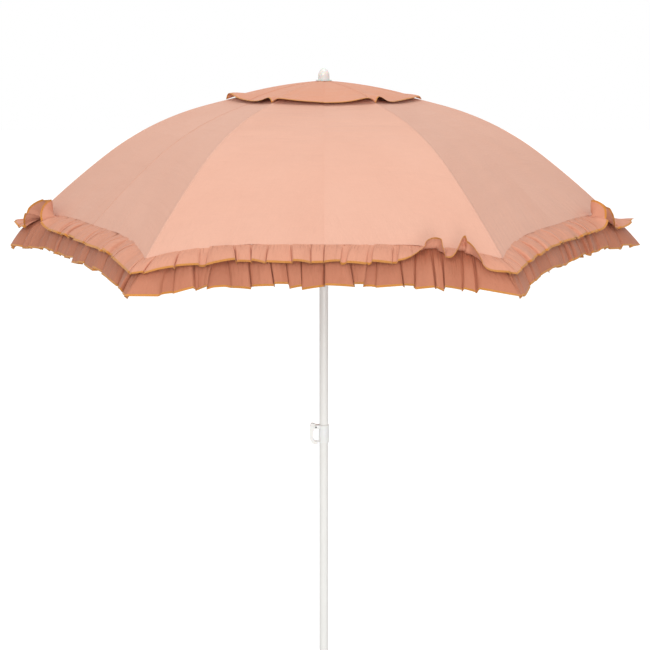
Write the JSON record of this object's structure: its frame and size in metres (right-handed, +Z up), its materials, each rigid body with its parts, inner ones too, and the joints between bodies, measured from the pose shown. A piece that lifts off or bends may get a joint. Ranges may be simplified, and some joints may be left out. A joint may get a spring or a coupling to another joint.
{
  "type": "garden parasol",
  "caption": "Round-topped garden parasol on a telescoping white pole, with folding ribs, a vent cap and a gathered two-tier cloth frill.",
  "frame": {"origin": "centre of the lower tube's bottom end, where the pole enters its base or the ground", "axes": "+Z up the pole; +X along the first rib, -X towards the clamp lever; -Y is the front"},
  "size_m": [1.8004, 1.5594, 2.0509],
  "materials": {
    "white_paint": "white powder coat",
    "white_plastic": "moulded, satin",
    "clear_plastic": "milky moulded",
    "steel": "zinc plated",
    "dark_steel": "blackened",
    "rubber": "matt",
    "canopy_cloth": "plain woven cotton, peach",
    "hem_thread": "ochre overlock"
  },
  "bodies": {
    "lower_pole": {"lower_tube": "white_paint", "ground_spike": "white_plastic", "clamp_collar": "white_plastic", "clamp_pin": "dark_steel", "clamp_pad": "rubber"},
    "lever": {"cam_lever": "white_plastic"},
    "upper_pole": {"upper_tube": "white_paint", "crown_hub": "white_plastic", "rib_ring": "steel", "cap_washer": "clear_plastic", "finial": "clear_plastic", "vent_cap": "canopy_cloth"},
    "catch": {"catch_spring": "steel"},
    "runner_body": {"runner": "white_plastic"},
    "rib_body_1": {"rib_1": "steel", "rib_tip_1": "white_plastic", "strut_rivet_1": "steel", "frill_1": "canopy_cloth"},
    "strut_body_1": {"strut_1": "steel"},
    "cloth_right_1": {"canopy_right_1": "canopy_cloth"},
    "cloth_left_1": {"canopy_left_1": "canopy_cloth"},
    "rib_body_2": {"rib_2": "steel", "rib_tip_2": "white_plastic", "strut_rivet_2": "steel", "frill_2": "canopy_cloth"},
    "strut_body_2": {"strut_2": "steel"},
    "cloth_right_2": {"canopy_right_2": "canopy_cloth"},
    "cloth_left_2": {"canopy_left_2": "canopy_cloth"},
    "rib_body_3": {"rib_3": "steel", "rib_tip_3": "white_plastic", "strut_rivet_3": "steel", "frill_3": "canopy_cloth"},
    "strut_body_3": {"strut_3": "steel"},
    "cloth_right_3": {"canopy_right_3": "canopy_cloth"},
    "cloth_left_3": {"canopy_left_3": "canopy_cloth"},
    "rib_body_4": {"rib_4": "steel", "rib_tip_4": "white_plastic", "strut_rivet_4": "steel", "frill_4": "canopy_cloth"},
    "strut_body_4": {"strut_4": "steel"},
    "cloth_right_4": {"canopy_right_4": "canopy_cloth"},
    "cloth_left_4": {"canopy_left_4": "canopy_cloth"},
    "rib_body_5": {"rib_5": "steel", "rib_tip_5": "white_plastic", "strut_rivet_5": "steel", "frill_5": "canopy_cloth"},
    "strut_body_5": {"strut_5": "steel"},
    "cloth_right_5": {"canopy_right_5": "canopy_cloth"},
    "cloth_left_5": {"canopy_left_5": "canopy_cloth"},
    "rib_body_6": {"rib_6": "steel", "rib_tip_6": "white_plastic", "strut_rivet_6": "steel", "frill_6": "canopy_cloth"},
    "strut_body_6": {"strut_6": "steel"},
    "cloth_right_6": {"canopy_right_6": "canopy_cloth"},
    "cloth_left_6": {"canopy_left_6": "canopy_cloth"}
  },
  "joints": [
    {"name": "pole_slide", "type": "slide", "parent": "lower_pole", "child": "upper_pole", "axis": [0, 0, 1], "range_m": [0, 0.2]},
    {"name": "clamp_lever_swing", "type": "hinge", "parent": "lower_pole", "child": "lever", "pos_m": [-0.0226, 0, 0.9444], "axis": [0, 1, 0], "range_deg": [0, 80]},
    {"name": "runner_slide", "type": "slide", "parent": "upper_pole", "child": "runner_body", "axis": [0, 0, -1], "range_m": [0, 0.46718], "deforming": ["vent_cap", "canopy_right_1", "canopy_left_1", "frill_1", "canopy_right_2", "canopy_left_2", "frill_2", "canopy_right_3", "canopy_left_3", "frill_3", "canopy_right_4", "canopy_left_4", "frill_4", "canopy_right_5", "canopy_left_5", "frill_5", "canopy_right_6", "canopy_left_6", "frill_6", "catch_spring"]},
    {"name": "catch_press", "type": "slide", "parent": "upper_pole", "child": "catch", "axis": [-1, 0, 0], "range_m": [0, 0.004], "stiffness_N_per_m": 800},
    {"name": "rib_fold_1", "type": "hinge", "parent": "upper_pole", "child": "rib_body_1", "pos_m": [0.024, 0, 1.917], "axis": [0, 1, 0], "range_deg": [0, 60.01]},
    {"name": "strut_fold_1", "type": "hinge", "parent": "rib_body_1", "child": "strut_body_1", "pos_m": [0.39757, 0, 1.82448], "axis": [0, 1, 0], "range_deg": [-103.17, 0]},
    {"name": "cloth_fold_right_1", "type": "hinge", "parent": "rib_body_1", "child": "cloth_right_1", "pos_m": [0.024, 0.00643, 1.917], "axis": [-0.7982, -0.388, -0.4608], "range_deg": [0, 29.02]},
    {"name": "cloth_fold_left_1", "type": "hinge", "parent": "rib_body_1", "child": "cloth_left_1", "pos_m": [0.024, -0.00643, 1.917], "axis": [0.7982, -0.388, 0.4608], "range_deg": [0, 29.02]},
    {"name": "rib_fold_2", "type": "hinge", "parent": "upper_pole", "child": "rib_body_2", "pos_m": [0.012, 0.02079, 1.917], "axis": [-0.866, 0.5, 0], "range_deg": [0, 60.01]},
    {"name": "strut_fold_2", "type": "hinge", "parent": "rib_body_2", "child": "strut_body_2", "pos_m": [0.19878, 0.3443, 1.82448], "axis": [-0.866, 0.5, 0], "range_deg": [-103.17, 0]},
    {"name": "cloth_fold_right_2", "type": "hinge", "parent": "rib_body_2", "child": "cloth_right_2", "pos_m": [0.00643, 0.024, 1.917], "axis": [-0.0631, -0.8852, -0.4608], "range_deg": [0, 29.02]},
    {"name": "cloth_fold_left_2", "type": "hinge", "parent": "rib_body_2", "child": "cloth_left_2", "pos_m": [0.01757, 0.01757, 1.917], "axis": [0.7351, 0.4972, 0.4608], "range_deg": [0, 29.02]},
    {"name": "rib_fold_3", "type": "hinge", "parent": "upper_pole", "child": "rib_body_3", "pos_m": [-0.012, 0.02079, 1.917], "axis": [-0.866, -0.5, 0], "range_deg": [0, 60.01]},
    {"name": "strut_fold_3", "type": "hinge", "parent": "rib_body_3", "child": "strut_body_3", "pos_m": [-0.19878, 0.3443, 1.82448], "axis": [-0.866, -0.5, 0], "range_deg": [-103.17, 0]},
    {"name": "cloth_fold_right_3", "type": "hinge", "parent": "rib_body_3", "child": "cloth_right_3", "pos_m": [-0.01757, 0.01757, 1.917], "axis": [0.7351, -0.4972, -0.4608], "range_deg": [0, 29.02]},
    {"name": "cloth_fold_left_3", "type": "hinge", "parent": "rib_body_3", "child": "cloth_left_3", "pos_m": [-0.00643, 0.024, 1.917], "axis": [-0.0631, 0.8852, 0.4608], "range_deg": [0, 29.02]},
    {"name": "rib_fold_4", "type": "hinge", "parent": "upper_pole", "child": "rib_body_4", "pos_m": [-0.024, 0, 1.917], "axis": [0, -1, 0], "range_deg": [0, 60.01]},
    {"name": "strut_fold_4", "type": "hinge", "parent": "rib_body_4", "child": "strut_body_4", "pos_m": [-0.39757, 0, 1.82448], "axis": [0, -1, 0], "range_deg": [-103.17, 0]},
    {"name": "cloth_fold_right_4", "type": "hinge", "parent": "rib_body_4", "child": "cloth_right_4", "pos_m": [-0.024, -0.00643, 1.917], "axis": [0.7982, 0.388, -0.4608], "range_deg": [0, 29.02]},
    {"name": "cloth_fold_left_4", "type": "hinge", "parent": "rib_body_4", "child": "cloth_left_4", "pos_m": [-0.024, 0.00643, 1.917], "axis": [-0.7982, 0.388, 0.4608], "range_deg": [0, 29.02]},
    {"name": "rib_fold_5", "type": "hinge", "parent": "upper_pole", "child": "rib_body_5", "pos_m": [-0.012, -0.02079, 1.917], "axis": [0.866, -0.5, 0], "range_deg": [0, 60.01]},
    {"name": "strut_fold_5", "type": "hinge", "parent": "rib_body_5", "child": "strut_body_5", "pos_m": [-0.19878, -0.3443, 1.82448], "axis": [0.866, -0.5, 0], "range_deg": [-103.17, 0]},
    {"name": "cloth_fold_right_5", "type": "hinge", "parent": "rib_body_5", "child": "cloth_right_5", "pos_m": [-0.00643, -0.024, 1.917], "axis": [0.0631, 0.8852, -0.4608], "range_deg": [0, 29.02]},
    {"name": "cloth_fold_left_5", "type": "hinge", "parent": "rib_body_5", "child": "cloth_left_5", "pos_m": [-0.01757, -0.01757, 1.917], "axis": [-0.7351, -0.4972, 0.4608], "range_deg": [0, 29.02]},
    {"name": "rib_fold_6", "type": "hinge", "parent": "upper_pole", "child": "rib_body_6", "pos_m": [0.012, -0.02079, 1.917], "axis": [0.866, 0.5, 0], "range_deg": [0, 60.01]},
    {"name": "strut_fold_6", "type": "hinge", "parent": "rib_body_6", "child": "strut_body_6", "pos_m": [0.19878, -0.3443, 1.82448], "axis": [0.866, 0.5, 0], "range_deg": [-103.17, 0]},
    {"name": "cloth_fold_right_6", "type": "hinge", "parent": "rib_body_6", "child": "cloth_right_6", "pos_m": [0.01757, -0.01757, 1.917], "axis": [-0.7351, 0.4972, -0.4608], "range_deg": [0, 29.02]},
    {"name": "cloth_fold_left_6", "type": "hinge", "parent": "rib_body_6", "child": "cloth_left_6", "pos_m": [0.00643, -0.024, 1.917], "axis": [0.0631, -0.8852, 0.4608], "range_deg": [0, 29.02]}
  ],
  "couplings": [
    {"joint": "rib_fold_1", "follows": "runner_slide", "rad_per_m": 2.2415},
    {"joint": "strut_fold_1", "follows": "runner_slide", "rad_per_m": -3.8538},
    {"joint": "cloth_fold_right_1", "follows": "runner_slide", "rad_per_m": 1.0839},
    {"joint": "cloth_fold_left_1", "follows": "runner_slide", "rad_per_m": 1.0839},
    {"joint": "rib_fold_2", "follows": "runner_slide", "rad_per_m": 2.2415},
    {"joint": "strut_fold_2", "follows": "runner_slide", "rad_per_m": -3.8538},
    {"joint": "cloth_fold_right_2", "follows": "runner_slide", "rad_per_m": 1.0839},
    {"joint": "cloth_fold_left_2", "follows": "runner_slide", "rad_per_m": 1.0839},
    {"joint": "rib_fold_3", "follows": "runner_slide", "rad_per_m": 2.2415},
    {"joint": "strut_fold_3", "follows": "runner_slide", "rad_per_m": -3.8538},
    {"joint": "cloth_fold_right_3", "follows": "runner_slide", "rad_per_m": 1.0839},
    {"joint": "cloth_fold_left_3", "follows": "runner_slide", "rad_per_m": 1.0839},
    {"joint": "rib_fold_4", "follows": "runner_slide", "rad_per_m": 2.2415},
    {"joint": "strut_fold_4", "follows": "runner_slide", "rad_per_m": -3.8538},
    {"joint": "cloth_fold_right_4", "follows": "runner_slide", "rad_per_m": 1.0839},
    {"joint": "cloth_fold_left_4", "follows": "runner_slide", "rad_per_m": 1.0839},
    {"joint": "rib_fold_5", "follows": "runner_slide", "rad_per_m": 2.2415},
    {"joint": "strut_fold_5", "follows": "runner_slide", "rad_per_m": -3.8538},
    {"joint": "cloth_fold_right_5", "follows": "runner_slide", "rad_per_m": 1.0839},
    {"joint": "cloth_fold_left_5", "follows": "runner_slide", "rad_per_m": 1.0839},
    {"joint": "rib_fold_6", "follows": "runner_slide", "rad_per_m": 2.2415},
    {"joint": "strut_fold_6", "follows": "runner_slide", "rad_per_m": -3.8538},
    {"joint": "cloth_fold_right_6", "follows": "runner_slide", "rad_per_m": 1.0839},
    {"joint": "cloth_fold_left_6", "follows": "runner_slide", "rad_per_m": 1.0839}
  ]
}
